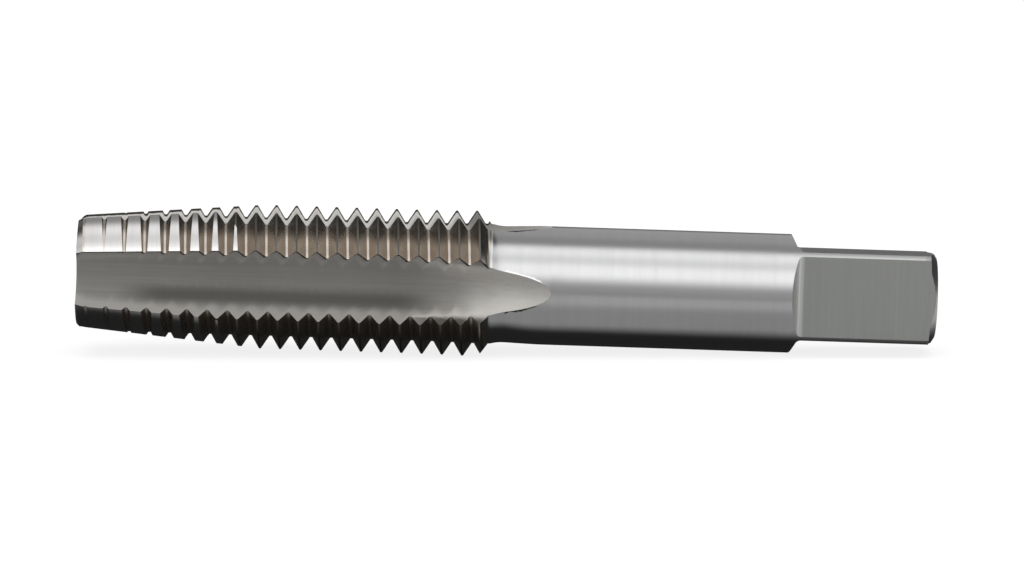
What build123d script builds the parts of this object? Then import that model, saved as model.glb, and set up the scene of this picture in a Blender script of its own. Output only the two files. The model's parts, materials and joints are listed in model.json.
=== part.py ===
"""Hand tap for a 3/4-10 thread with a taper lead, ground from one bar.

Frame: the axis lies along +X, from the point's end face (X = 0) to the
square end.  Z is up.  The four flutes open toward -Y, +Z, +Y and -Z, so
the tap lies on two land edges.  Angles called "turn" are measured about
the axis from -Y toward +Z.  Seen from the point, the tap cuts turning
clockwise, and the thread is right-handed.
"""
import math
import os

from build123d import *

os.makedirs("parts", exist_ok=True)

# Whole tap
LENGTH = 108.0            # point's end face to the square's end face

# Thread
PITCH = 2.54              # ten threads to the inch
MAJOR_RADIUS = 9.62       # ground a little over 19.05 / 2 so the nut runs free
FLANK_ANGLE = 60.0        # between the two flanks of a groove
CREST_SHARE = 0.09        # flat on the crest, in pitches
ROOT_SHARE = 0.11         # flat at the bottom of the groove, in pitches
GROOVE_START = 1.17       # where the groove's centre line crosses -Y, in the first turn
THREAD_END = 51.8         # where the rear bevel reaches its smallest radius

# Lead at the point
LEAD_ANGLE = 5.45         # each side, to the axis
LEAD_RADIUS = 7.94        # cutting edge, at the point's end face
LEAD_RELIEF = 0.49        # how far the heel falls below the cutting edge
POINT_BEVEL = 0.4         # broken edge round the end face

# Flutes
FLUTES = 4
LAND_WIDTH = 36.0         # degrees of the rim each land keeps
FLUTE_LEAN = 0.5          # deepest line sits this far toward the cutting face
CORE_RADIUS = 4.9
FLUTE_ROUND = 3.9         # radius of the flute's bottom
WHEEL_RADIUS = 66.0       # grinding wheel that leaves the run-out
RUNOUT_START = 41.2       # full depth up to here

# Neck and shank
REAR_BEVEL = 1.2          # axial length of the bevel behind the thread
NECK_RADIUS = 7.80        # just below the bottom of the groove
NECK_FLAT = 0.25          # short ring behind the bevel
NECK_LENGTH = 1.75        # hollow curve from the ring down to the shank
SHANK_RADIUS = 7.49

# Square
SQUARE = 11.1             # across flats
SQUARE_LENGTH = 17.46     # flat part, to the foot of the ramp
SQUARE_TURN = 3.5         # the flats are this far round from the flutes
RAMP_ANGLE = 65.0         # shoulder that climbs from a flat to the shank
RAMP_FILLET = 0.7
END_RADIUS = 5.0          # end face
END_BEVEL = 1.5           # axial length of the end bevel
END_ROUND = 0.35          # where the bevel meets the end face and the shank

# Lathe centres in both ends
CENTRE_RADIUS = 2.3       # mouth
CENTRE_FLOOR = 0.5        # small flat at the bottom of the cone
CENTRE_ANGLE = 60.0

# How far the cutting tools run past the work
REACH = 5.0               # outside it
PAST_END = 1.0            # beyond an end face
PAST_EXIT = 2.0           # degrees of the wheel's turn after it has left the shank
PAST_EDGE = 10.0          # degrees of a groove beyond each edge of a land
PAST_CREST = 0.12         # a groove's flanks go on outside the crest
PAST_FLANK = 0.3          # upright sides of the groove tool above its flanks
TOUCH = 0.1               # slack when corners are picked by their place

# Worked out from the sizes above
GROOVE_DEPTH = PITCH * (1 - CREST_SHARE - ROOT_SHARE) / 2 / math.tan(math.radians(FLANK_ANGLE / 2))
MINOR_RADIUS = MAJOR_RADIUS - GROOVE_DEPTH
GAP_SWING = LAND_WIDTH + 2 * PAST_EDGE
HELIX_TURN = 90.0         # a helix about +X starts at +Z
FLUTE_STEP = 360.0 / FLUTES
LAND_TURN = FLUTE_STEP / 2
HALF_LAND = LAND_WIDTH / 2
HALF_FLUTE = LAND_TURN - HALF_LAND
LEAD_OFFSET = LEAD_RELIEF / 2 / math.sin(math.radians(HALF_LAND))
CONE_RADIUS = LEAD_RADIUS - LEAD_RELIEF / 2
LEAD_SLOPE = math.tan(math.radians(LEAD_ANGLE))
LEAD_REACH = (MAJOR_RADIUS - CONE_RADIUS + LEAD_RELIEF) / LEAD_SLOPE
CENTRE_DEPTH = (CENTRE_RADIUS - CENTRE_FLOOR) / math.tan(math.radians(CENTRE_ANGLE / 2))


def outward(turn):
    """Unit vector square to the axis, at this turn from -Y toward +Z."""
    return Vector(0, -math.cos(math.radians(turn)), math.sin(math.radians(turn)))


def section(turn, x=0.0):
    """Plane across the axis: local x points outward, local z to the point."""
    return Plane(origin=(x, 0, 0), x_dir=outward(turn), z_dir=(-1, 0, 0))


def lengthwise(turn, offset=(0, 0, 0)):
    """Plane along the axis: local x runs down the axis, local y outward."""
    return Plane(origin=offset, x_dir=(1, 0, 0),
                 z_dir=Vector(1, 0, 0).cross(outward(turn)))


def tangent_point(edge, centre, radius, side):
    """Where a line from a rim point touches the flute's round bottom."""
    gap = edge - centre
    swing = side * math.degrees(math.acos(radius / gap.length))
    return centre + gap.normalized().rotate(Axis.Z, swing) * radius


# One flute: straight cut, then the wheel's run-out
round_centre = Vector(CORE_RADIUS + FLUTE_ROUND, 0)
cutting_edge = Vector(MAJOR_RADIUS, 0).rotate(Axis.Z, FLUTE_LEAN - HALF_FLUTE)
heel_edge = Vector(MAJOR_RADIUS, 0).rotate(Axis.Z, FLUTE_LEAN + HALF_FLUTE)
cutting_foot = tangent_point(cutting_edge, round_centre, FLUTE_ROUND, -1)
heel_foot = tangent_point(heel_edge, round_centre, FLUTE_ROUND, 1)
cutting_out = cutting_edge + (cutting_edge - cutting_foot).normalized() * REACH
heel_out = heel_edge + (heel_edge - heel_foot).normalized() * REACH

with BuildPart() as flute:
    across = section(-FLUTE_LEAN, RUNOUT_START)
    with BuildSketch(across) as flute_section:
        with BuildLine():
            Line(cutting_out, cutting_foot)
            ThreePointArc(cutting_foot, (CORE_RADIUS, 0), heel_foot)
            Line(heel_foot, heel_out)
            Line(heel_out, cutting_out)
        make_face()
    extrude(amount=RUNOUT_START + REACH)
    wheel = Axis(across.from_local_coords(Vector(CORE_RADIUS + WHEEL_RADIUS, 0)),
                 across.y_dir)
    exit_angle = math.degrees(math.acos(1 - (SHANK_RADIUS - CORE_RADIUS) / WHEEL_RADIUS))
    revolve(flute_section.sketch, axis=wheel, revolution_arc=-(exit_angle + PAST_EXIT))

# One land's share of the relieved lead: an off-centre cone, opened outward
with BuildPart() as lead_cut:
    off_centre = outward(LAND_TURN + 90) * LEAD_OFFSET
    with BuildSketch(lengthwise(LAND_TURN - HALF_FLUTE, off_centre)):
        with BuildLine():
            bevel_radius = CONE_RADIUS + LEAD_SLOPE * POINT_BEVEL
            Polyline((-PAST_END, bevel_radius - POINT_BEVEL - PAST_END),
                     (POINT_BEVEL, bevel_radius),
                     (LEAD_REACH, CONE_RADIUS + LEAD_SLOPE * LEAD_REACH),
                     (LEAD_REACH, MAJOR_RADIUS + REACH),
                     (-PAST_END, MAJOR_RADIUS + REACH), close=True)
        make_face()
    revolve(axis=Axis(off_centre, (1, 0, 0)), revolution_arc=-2 * HALF_FLUTE)

# One gap between two teeth: the groove's stretch across a single land
with BuildPart() as tooth_gap:
    helix = Helix(pitch=PITCH, height=PITCH * GAP_SWING / 360, radius=MINOR_RADIUS,
                  direction=(1, 0, 0), mode=Mode.PRIVATE)
    half_root = PITCH * ROOT_SHARE / 2
    flank_top = MAJOR_RADIUS + PAST_CREST
    half_top = half_root + (flank_top - MINOR_RADIUS) * math.tan(math.radians(FLANK_ANGLE / 2))
    with BuildSketch(lengthwise(HELIX_TURN)):
        with BuildLine():
            Polyline((-half_root, MINOR_RADIUS), (half_root, MINOR_RADIUS),
                     (half_top, flank_top), (half_top, flank_top + PAST_FLANK),
                     (-half_top, flank_top + PAST_FLANK), (-half_top, flank_top), close=True)
        make_face()
    sweep(path=helix, is_frenet=True)


def gap_places(land):
    """Every place where the groove crosses one land, from point to neck."""
    first_turn = LAND_TURN + FLUTE_STEP * land + GAP_SWING / 2
    first_x = (GROOVE_START - PITCH * first_turn / 360) % PITCH - PITCH
    count = math.ceil((THREAD_END - first_x) / PITCH)
    return [Location((first_x + PITCH * k, 0, 0), (HELIX_TURN - first_turn, 0, 0))
            for k in range(count)]


# The tap: a turned blank, then every grinding cut in turn
with BuildPart() as tap:
    neck_start = THREAD_END + NECK_FLAT
    neck_end = neck_start + NECK_LENGTH
    with BuildSketch(Plane.XY) as blank:
        with BuildLine():
            Polyline((LENGTH, END_RADIUS), (LENGTH, CENTRE_RADIUS),
                     (LENGTH - CENTRE_DEPTH, CENTRE_FLOOR), (LENGTH - CENTRE_DEPTH, 0),
                     (CENTRE_DEPTH, 0), (CENTRE_DEPTH, CENTRE_FLOOR),
                     (0, CENTRE_RADIUS), (0, MAJOR_RADIUS),
                     (THREAD_END - REAR_BEVEL, MAJOR_RADIUS),
                     (THREAD_END, NECK_RADIUS), (neck_start, NECK_RADIUS))
            TangentArc((neck_end, SHANK_RADIUS), (neck_start, NECK_RADIUS),
                       tangent=(-1, 0))
            Polyline((neck_end, SHANK_RADIUS), (LENGTH - END_BEVEL, SHANK_RADIUS),
                     (LENGTH, END_RADIUS))
        make_face()
        bevel_ends = [v for v in blank.vertices()
                      if v.X > LENGTH - END_BEVEL - TOUCH and v.Y > END_RADIUS + TOUCH]
        fillet(bevel_ends, END_ROUND)
    revolve(axis=Axis.X)
    for k in range(FLUTES):
        add(flute.part, rotation=(FLUTE_STEP * k, 0, 0), mode=Mode.SUBTRACT)
    for k in range(FLUTES):
        add(lead_cut.part, rotation=(FLUTE_STEP * k, 0, 0), mode=Mode.SUBTRACT)
    for k in range(4):
        with BuildSketch(lengthwise(SQUARE_TURN + 90 * k)) as flat_cut:
            foot = LENGTH - SQUARE_LENGTH
            rise = REACH / math.tan(math.radians(RAMP_ANGLE))
            with BuildLine():
                Polyline((LENGTH + PAST_END, SQUARE / 2), (foot, SQUARE / 2),
                         (foot - rise, SQUARE / 2 + REACH),
                         (LENGTH + PAST_END, SQUARE / 2 + REACH), close=True)
            make_face()
            fillet(flat_cut.vertices().sort_by_distance(
                flat_cut.workplanes[0].from_local_coords(Vector(foot, SQUARE / 2)))[0],
                RAMP_FILLET)
        extrude(amount=MAJOR_RADIUS, both=True, mode=Mode.SUBTRACT)
    for k in range(FLUTES):
        with Locations(*gap_places(k)):
            add(tooth_gap.part, mode=Mode.SUBTRACT, clean=False)

tap.part.label = "tap"
export_step(tap.part, "parts/tap.step")
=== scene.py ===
"""Studio scene of a hand tap: one bright ground steel piece on a pale floor.

The tap's surface is one closed grid.  Its rings follow the thread's helix on the
lands, run square to the axis on the shank, and carry the flutes, the square's
flats and the lathe centres as their open stretches.  Sizes are millimetres in
the classes and become metres when a mesh is made.  Angles called "turn" are
measured about the axis from -Y toward +Z, in degrees.
"""
from __future__ import annotations

import json
import logging
import math
from dataclasses import dataclass, field
from enum import Enum

import bmesh
import bpy
import numpy as np
from mathutils import Matrix, Vector

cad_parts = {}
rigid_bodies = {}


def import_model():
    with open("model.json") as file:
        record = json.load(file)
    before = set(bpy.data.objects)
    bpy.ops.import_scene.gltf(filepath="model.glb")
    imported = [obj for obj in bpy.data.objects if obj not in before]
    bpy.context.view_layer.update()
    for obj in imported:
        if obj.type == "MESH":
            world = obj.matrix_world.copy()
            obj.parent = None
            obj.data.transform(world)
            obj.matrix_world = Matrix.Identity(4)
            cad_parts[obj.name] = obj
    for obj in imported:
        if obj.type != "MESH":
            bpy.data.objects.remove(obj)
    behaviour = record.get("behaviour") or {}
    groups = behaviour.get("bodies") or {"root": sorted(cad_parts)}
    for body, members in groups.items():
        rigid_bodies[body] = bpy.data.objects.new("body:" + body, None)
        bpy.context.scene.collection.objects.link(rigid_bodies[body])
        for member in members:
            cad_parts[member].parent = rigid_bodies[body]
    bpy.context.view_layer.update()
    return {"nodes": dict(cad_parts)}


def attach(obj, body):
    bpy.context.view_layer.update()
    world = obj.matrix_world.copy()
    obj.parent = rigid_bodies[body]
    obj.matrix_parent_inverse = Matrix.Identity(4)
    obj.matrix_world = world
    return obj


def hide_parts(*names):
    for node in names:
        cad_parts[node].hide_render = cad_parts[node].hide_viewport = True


LOG = logging.getLogger("tap")
MM = 0.001
QUARTER = 90.0  # turn from one flute or flat to the next, in degrees
TINY = 1e-9
Array = np.ndarray


class Zone(Enum):
    """Stretches of the tap's surface that are ground in different ways."""

    FLUTE = 0
    FLANK = 1
    LEAD = 2
    CREST = 3
    ROOT = 4
    SHANK = 5
    SQUARE = 6
    END = 7
    CENTRE = 8


class Edge(Enum):
    """Point attributes that hold a point's distance from a line of its flute."""

    CUTTING = "from_cutting_edge"
    HEEL = "from_heel_edge"
    BOTTOM = "from_flute_bottom"


# --------------------------------------------------------------------------
# Shape
# --------------------------------------------------------------------------


@dataclass
class Blank:
    """Turned and ground outline of the tap behind its thread.

    Attributes:
        length: point's end face to the square's end face.
        major: outside radius of the thread.
        thread_end: where the bevel behind the thread reaches the neck.
        bevel: axial length of that bevel.
        neck: radius of the ring behind the bevel.
        neck_flat: length of that ring.
        neck_length: length of the hollow curve down to the shank.
        shank: radius of the shank.
        end_radius: radius of the square's end face.
        end_bevel: axial length of the bevel at that end.
        end_round: radius at both edges of the end bevel.
        end_reach: how far before the end face the end bevel takes over from
            the plain shank.
        centre: mouth radius of the lathe centres.
        centre_floor: radius of the small flat in them.
        arc_steps: points on each arc where a radius is looked up.
    """

    length: float = 108.0
    major: float = 9.62
    thread_end: float = 51.8
    bevel: float = 1.2
    neck: float = 7.80
    neck_flat: float = 0.25
    neck_length: float = 1.75
    shank: float = 7.49
    end_radius: float = 5.0
    end_bevel: float = 1.5
    end_round: float = 0.35
    end_reach: float = 1.0
    centre: float = 2.3
    centre_floor: float = 0.5
    arc_steps: int = 12

    @property
    def neck_end(self) -> float:
        """Where the hollow curve meets the shank."""
        return self.thread_end + self.neck_flat + self.neck_length

    @property
    def centre_depth(self) -> float:
        """Depth of a 60 degree centre from its mouth to its small flat."""
        return (self.centre - self.centre_floor) * math.sqrt(3.0)

    def end_outline(self, steps: int) -> tuple[Array, Array]:
        """Outline of the end bevel with both of its edges rounded.

        Each edge is an arc tangent to its two neighbours: the arc's centre
        lies on the inside, one radius away from both lines.  The first point
        only says where the outline takes over from the plain shank.

        Args:
            steps: points on each arc.

        Returns:
            Positions along the axis and the radii there, toward the end face.
        """
        corners = np.array([[0.0, self.shank],
                            [self.length - self.end_bevel, self.shank],
                            [self.length, self.end_radius],
                            [self.length, 0.0]])
        points = [np.array([[self.length - self.end_reach, self.shank]])]
        for k in (1, 2):
            into = corners[k] - corners[k - 1]
            out = corners[k + 1] - corners[k]
            into, out = into / np.hypot(*into), out / np.hypot(*out)
            bend = math.acos(float(np.clip(into @ out, -1.0, 1.0)))
            setback = self.end_round * math.tan(bend / 2)
            centre = corners[k] - into * setback + self.end_round * np.array([into[1], -into[0]])
            swing = np.linspace(0.0, bend, steps)[:, None]
            start = np.array([-into[1], into[0]])
            points.append(centre + self.end_round * (start * np.cos(swing) + into * np.sin(swing)))
        outline = np.vstack(points)
        return np.minimum(outline[:, 0], self.length), outline[:, 1]

    def tail_radius(self, x: Array) -> Array:
        """Radius of the turned blank, from the thread's crest to the end.

        The bevel is a straight slope, the neck a ring, then a circular arc
        tangent to the shank; the end bevel follows end_outline.

        Args:
            x: positions along the axis.

        Returns:
            The blank's radius at each position.
        """
        slope = (self.major - self.neck) / self.bevel
        radius = np.clip(self.major - (x - self.thread_end + self.bevel) * slope, self.neck, self.major)
        drop = self.neck - self.shank
        arc = (self.neck_length ** 2 + drop ** 2) / (2 * drop)
        back = np.clip(self.neck_end - x, 0.0, self.neck_length)
        hollow = self.shank + arc - np.sqrt(arc ** 2 - back ** 2)
        radius = np.where(x > self.neck_end - self.neck_length, hollow, radius)
        along, height = self.end_outline(self.arc_steps)
        return np.where(x > along[0], np.interp(x, along, height), radius)


@dataclass
class Thread:
    """Right-hand thread with a relieved taper lead.

    Attributes:
        pitch: distance between crests.
        major: outside radius.
        angle: angle between the two flanks, in degrees.
        crest_share: flat on the crest, in pitches.
        root_share: flat in the groove, in pitches.
        start: where the groove's centre line crosses -Y in the first turn.
        lead_angle: slope of the lead to the axis, in degrees.
        lead_radius: cutting edge at the point's end face.
        lead_relief: how far a land's heel falls below its cutting edge.
        point_bevel: broken edge round the end face.
        half_land: half of a land's width, in degrees.
        trials: how often a crest's height and its place are set against
            each other.
    """

    pitch: float = 2.54
    major: float = 9.62
    angle: float = 60.0
    crest_share: float = 0.09
    root_share: float = 0.11
    start: float = 1.17
    lead_angle: float = 5.45
    lead_radius: float = 7.94
    lead_relief: float = 0.49
    point_bevel: float = 0.4
    half_land: float = 18.0
    trials: int = 6

    @property
    def rise(self) -> float:
        """Axial distance that a flank takes for each unit of height."""
        return math.tan(math.radians(self.angle / 2))

    @property
    def half_root(self) -> float:
        """Half of the flat in the groove."""
        return self.pitch * self.root_share / 2

    @property
    def depth(self) -> float:
        """Height of the thread."""
        return self.pitch * (1 - self.crest_share - self.root_share) / 2 / self.rise

    @property
    def minor(self) -> float:
        """Radius at the bottom of the groove."""
        return self.major - self.depth

    def advance(self, turn: Array) -> Array:
        """Where the first groove crosses a line at this turn: one pitch less each full turn."""
        return self.start - turn * self.pitch / 360.0

    def groove_radius(self, x: Array, turn: Array) -> Array:
        """Radius of the endless thread: the distance to the nearest groove's
        centre, less half the root flat, divided by the flank's rise.

        Args:
            x: positions along the axis.
            turn: angles of the points.

        Returns:
            Radius between the groove's bottom and the crest.
        """
        cycle = (x - self.advance(turn)) / self.pitch
        away = np.abs(cycle - np.round(cycle)) * self.pitch
        return self.minor + np.clip((away - self.half_root) / self.rise, 0.0, self.depth)

    def lead_surface(self, x: Array, turn: Array) -> Array:
        """Radius of the off-centre cones that are ground over the lands.

        Each cone's axis is moved toward the land's cutting edge, so seen from
        the tap's axis its radius is e sin d + sqrt(c^2 - (e cos d)^2), with e
        the offset, c the cone's own radius and d the angle from mid-land.

        Args:
            x: positions along the axis.
            turn: angles of the points.

        Returns:
            The lead's radius there.
        """
        offset = self.lead_relief / 2 / math.sin(math.radians(self.half_land))
        slope = math.tan(math.radians(self.lead_angle))
        base = self.lead_radius - self.lead_relief / 2
        cone = base + slope * np.maximum(x, self.point_bevel) - np.maximum(self.point_bevel - x, 0.0)
        swing = np.radians(np.mod(turn, QUARTER) - QUARTER / 2)
        return offset * np.sin(swing) + np.sqrt(cone ** 2 - (offset * np.cos(swing)) ** 2)

    def crest_height(self, groove: Array, side: Array, turn: Array, shift: Array) -> Array:
        """Height of a flank's top, where the lead cuts the crest off.

        The top's place depends on its height and the lead's radius on its
        place, so the two are worked out in turn until they agree.

        Args:
            groove: position of the groove's centre before the helix shift.
            side: +1 or -1 for the flank toward or away from the shank.
            turn: angle of the point.
            shift: helix shift of the point's land.

        Returns:
            Height above the bottom of the groove.
        """
        height = np.full(np.broadcast(groove, turn).shape, self.depth)
        for _ in range(self.trials):
            x = groove + shift + side * (self.half_root + height * self.rise)
            lead = self.lead_surface(np.maximum(x, 0.0), turn)
            height = np.clip(lead - self.minor, 0.0, self.depth)
        return height


@dataclass
class Flute:
    """Section of one flute, ground by a wheel that leaves a run-out.

    Attributes:
        major: radius at which the flute's width is set.
        half_width: half of the flute's mouth, in degrees.
        lean: the deepest line sits this far toward the cutting face.
        core: radius of the core.
        round: radius of the flute's bottom.
        wheel: radius of the grinding wheel.
        runout: full depth up to here.
    """

    major: float = 9.62
    half_width: float = 27.0
    lean: float = 0.5
    core: float = 4.9
    round: float = 3.9
    wheel: float = 66.0
    runout: float = 41.2

    def wall_angle(self, edge: float) -> float:
        """Angle on the round bottom where the straight wall to an edge leaves it.

        Args:
            edge: the edge's angle from the deepest line, in degrees.

        Returns:
            acos(-round / d) - g, with d and g the length and angle of the
            line from the round's centre to the edge, in radians.
        """
        across = self.major * math.cos(math.radians(edge)) - self.core - self.round
        up = self.major * math.sin(math.radians(edge))
        return math.acos(-self.round / math.hypot(across, up)) - math.atan2(up, across)

    @property
    def walls(self) -> tuple[float, float]:
        """Angles where the cutting face and the heel's wall begin."""
        return (-self.wall_angle(self.half_width - self.lean),
                self.wall_angle(self.half_width + self.lean))

    def section(self, along: Array, x: Array) -> tuple[Array, Array]:
        """Point of the flute's section, outward and sideways.

        The outline is an arc of the bottom's radius with a straight tangent
        at each end.  Past the run-out's start every point rides on a circle
        about the wheel's axis: its distance outward from the wheel's axis
        becomes sqrt(d^2 - (x - start)^2).

        Args:
            along: length along the outline from its deepest point, positive
                toward the heel.
            x: positions along the axis.

        Returns:
            Distances outward and sideways from the deepest line's plane.
        """
        cutting, heel = self.walls
        bend = np.clip(along / self.round, cutting, heel)
        straight = along - self.round * bend
        outward = self.core + self.round * (1 - np.cos(bend)) + straight * np.sin(bend)
        sideways = self.round * np.sin(bend) + straight * np.cos(bend)
        hub = self.core + self.wheel
        past = np.maximum(x - self.runout, 0.0)
        reach = np.sqrt(np.maximum((hub - outward) ** 2 - past ** 2, 0.0))
        return np.where(past > 0, hub - reach, outward), sideways


@dataclass
class Square:
    """Driving square with a sloped shoulder.

    Attributes:
        across: distance between opposite flats.
        length: flat part, from the end face to the shoulder's foot.
        turn: how far the flats are round from the flutes, in degrees.
        ramp: slope of the shoulder to the axis, in degrees.
        fillet: radius at the shoulder's foot.
    """

    across: float = 11.1
    length: float = 17.46
    turn: float = 3.5
    ramp: float = 65.0
    fillet: float = 0.7

    def outline(self, length: float, top: float, steps: int) -> tuple[Array, Array]:
        """Height of a flat and its shoulder above the axis.

        A straight slope from the shank, an arc tangent to slope and flat,
        then the flat.

        Args:
            length: the tap's length.
            top: radius of the shank.
            steps: points on the arc.

        Returns:
            Positions along the axis, from the shank on, and heights.
        """
        foot, height = length - self.length, self.across / 2
        slope = math.radians(self.ramp)
        setback = self.fillet * math.tan(slope / 2)
        swing = np.linspace(slope, 0.0, steps)
        arc_x = foot + setback - self.fillet * np.sin(swing)
        arc_h = height + self.fillet * (1 - np.cos(swing))
        start = foot - (top - height) / math.tan(slope)
        return np.concatenate([[start], arc_x]), np.concatenate([[top], arc_h])


class Rings:
    """The rings of the grid, in order from the point to the square end.

    A ring on the thread is a mix of two marks.  A mark is a groove's centre,
    a side, and a share of the flank's height: share 0 is the flank's foot and
    share 1 its top.  Other rings are plain, square to the axis.
    """

    def __init__(self) -> None:
        """Starts with no rings."""
        self.marks: list[tuple[float, ...]] = []
        self.plain: list[float] = []
        self.zones: list[tuple[Zone, Zone]] = []

    def on_thread(self, first: tuple[float, float, float], last: tuple[float, float, float],
                  steps: int, zone: Zone) -> None:
        """Adds rings from one mark up to, but not on, another."""
        for k in range(steps):
            self.marks.append((*first, *last, k / steps))
            self.plain.append(math.nan)
            self.zones.append((Zone.FLUTE, zone))

    def square_on(self, places: Array, mouth: Zone, land: Zone) -> None:
        """Adds plain rings at these places along the axis."""
        for x in places:
            self.marks.append((0.0,) * 7)
            self.plain.append(float(x))
            self.zones.append((mouth, land))


@dataclass(frozen=True)
class Counts:
    """How finely each stretch of the grid is divided.

    Attributes:
        mouth: columns over the cutting face, the round and the heel wall.
        land: columns over a land.
        flank: rings on a flank.
        crest: rings on a crest.
        neck: rings on the hollow behind the bevel.
        runout: rings from there to the run-out's tip.
        shank: rings on the plain shank.
        ramp: rings on the shoulder's slope.
        foot: rings on the arc at the shoulder's foot.
        flat: rings on the flats.
        bevel: rings on the end bevel.
        edge: rings on each arc at the end bevel's edges.
        passes: how often a flute's edge and its ring are set against each other.
        halvings: how often the search for a flute's edge halves its range.
    """

    mouth: tuple[int, int, int] = (5, 14, 6)
    land: int = 20
    flank: int = 5
    crest: int = 2
    neck: int = 7
    runout: int = 15
    shank: int = 16
    ramp: int = 7
    foot: int = 8
    flat: int = 12
    bevel: int = 12
    edge: int = 6
    passes: int = 4
    halvings: int = 44


@dataclass
class TapBody:
    """The whole tap as one closed mesh.

    Attributes:
        blank: outline behind the thread.
        thread: thread and lead.
        flute: flute section.
        square: driving square.
        counts: how finely the grid is divided.
        no_edge: distance that stands for "far from any flute edge".
        longest: a length along a flute's outline that is surely outside.
        knee: least share of the way to an edge at which its wall begins.
        point_mouth: turns between which a flute's columns meet the mouth of
            the point's centre.
        full_crest: how near the outside radius a crest that the lead has not
            ground comes.
    """

    blank: Blank = field(default_factory=Blank)
    thread: Thread = field(default_factory=Thread)
    flute: Flute = field(default_factory=Flute)
    square: Square = field(default_factory=Square)
    counts: Counts = Counts()
    no_edge: float = 30.0
    longest: float = 14.0
    knee: float = 0.8
    point_mouth: tuple[float, float] = (-41.0, 31.0)
    full_crest: float = 0.03

    # ---- surface -----------------------------------------------------

    def land_radius(self, x: Array, turn: Array) -> Array:
        """Radius of a land: the least of thread, lead and blank.

        Args:
            x: positions along the axis.
            turn: angles of the points.

        Returns:
            The radius there.
        """
        cut = np.minimum(self.thread.groove_radius(x, turn), self.thread.lead_surface(x, turn))
        return np.where(x < self.blank.thread_end - TINY,
                        np.minimum(cut, self.blank.tail_radius(x)), self.blank.tail_radius(x))

    def flat_height(self, x: Array) -> Array:
        """Height of the flats and their shoulders, or infinity on the shank."""
        along, height = self.square.outline(self.blank.length, self.blank.shank, self.blank.arc_steps)
        return np.where(x >= along[0], np.interp(x, along, height), np.inf)

    @property
    def flute_tip(self) -> float:
        """Where the deepest line of the run-out leaves the shank."""
        climb = self.flute.wheel - (self.blank.shank - self.flute.core)
        return self.flute.runout + math.sqrt(self.flute.wheel ** 2 - climb ** 2)

    @property
    def shoulder_start(self) -> float:
        """Where the shoulders of the square begin on the shank."""
        return float(self.square.outline(self.blank.length, self.blank.shank, 2)[0][0])

    # ---- rings -------------------------------------------------------

    def rings(self) -> Rings:
        """Lists every ring, from the point's end face to the square's.

        Returns:
            The rings, with the zones of the strip that follows each of them.
        """
        rows, pitch, counts = Rings(), self.thread.pitch, self.counts
        rows.square_on([0.0], Zone.FLUTE, Zone.LEAD)
        for k in range(-1, math.ceil(self.blank.thread_end / pitch) + 1):
            groove, following = k * pitch, (k + 1) * pitch
            rows.on_thread((groove, -1, 0), (groove, 1, 0), 1, Zone.ROOT)
            rows.on_thread((groove, 1, 0), (groove, 1, 1), counts.flank, Zone.FLANK)
            rows.on_thread((groove, 1, 1), (following, -1, 1), counts.crest, Zone.CREST)
            rows.on_thread((following, -1, 1), (following, -1, 0), counts.flank, Zone.FLANK)
        neck = self.blank.thread_end + self.blank.neck_flat
        rows.square_on([self.blank.thread_end], Zone.FLUTE, Zone.SHANK)
        rows.square_on(np.linspace(neck, self.blank.neck_end, counts.neck), Zone.FLUTE, Zone.SHANK)
        closing = 1 - np.linspace(1.0, 0.0, counts.runout)[1:] ** 2
        rows.square_on(self.blank.neck_end + (self.flute_tip - self.blank.neck_end) * closing,
                       Zone.FLUTE, Zone.SHANK)
        plain = np.linspace(self.flute_tip, self.shoulder_start, counts.shank)
        rows.square_on(plain[1:], Zone.SQUARE, Zone.SHANK)
        shoulder, _ = self.square.outline(self.blank.length, self.blank.shank, counts.foot)
        opening = np.linspace(0.0, 1.0, counts.ramp)[1:-1] ** 2
        rows.square_on(shoulder[0] + (shoulder[1] - shoulder[0]) * opening, Zone.SQUARE, Zone.SHANK)
        rows.square_on(shoulder[1:], Zone.SQUARE, Zone.SHANK)
        outline, _ = self.blank.end_outline(counts.edge)
        upper, lower = outline[1:counts.edge + 1], outline[counts.edge + 1:]
        rows.square_on(np.linspace(shoulder[-1], upper[0], counts.flat)[1:-1], Zone.SQUARE, Zone.SHANK)
        rows.square_on(upper, Zone.SQUARE, Zone.END)
        share = np.linspace(0.0, 1.0, counts.bevel)[1:-1]
        rows.square_on(upper[-1] + (lower[0] - upper[-1]) * share, Zone.SQUARE, Zone.END)
        rows.square_on(lower, Zone.SQUARE, Zone.END)
        return rows

    def ring_place(self, marks: Array, plain: Array, turn: Array, wrap: float) -> Array:
        """Position along the axis where each ring crosses a turn.

        On the thread it is the mix of the ring's two marks, each the groove's
        centre plus its share of the flank, plus the helix shift at this turn.

        Args:
            marks: the rings' marks, one row each.
            plain: places of the plain rings, not-a-number elsewhere.
            turn: angle, one row for each ring.
            wrap: 360 where the land was passed before the first flute.

        Returns:
            Positions along the axis, kept between the end face and the neck.
        """
        shift = self.thread.advance(turn + wrap)
        spread = [marks[:, k].reshape(-1, *([1] * (turn.ndim - 1))) for k in range(7)]
        ends = []
        for groove, side, share in (spread[0:3], spread[3:6]):
            height = self.thread.crest_height(groove, side, turn, shift)
            ends.append(groove + side * (self.thread.half_root + share * height * self.thread.rise))
        place = ends[0] + (ends[1] - ends[0]) * spread[6] + shift
        place = np.clip(place, 0.0, self.blank.thread_end)
        fixed = plain.reshape(-1, *([1] * (turn.ndim - 1)))
        return np.where(np.isnan(fixed), place, fixed)

    # ---- mouths: flutes, and the square's flats -------------------------

    def closed_turn(self, x: Array) -> Array:
        """Turn of the closed mouth on the shank, from the flute's to the flat's."""
        share = np.clip((x - self.flute_tip) / (self.shoulder_start - self.flute_tip), 0.0, 1.0)
        return -self.flute.lean + (self.square.turn + self.flute.lean) * share

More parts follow.
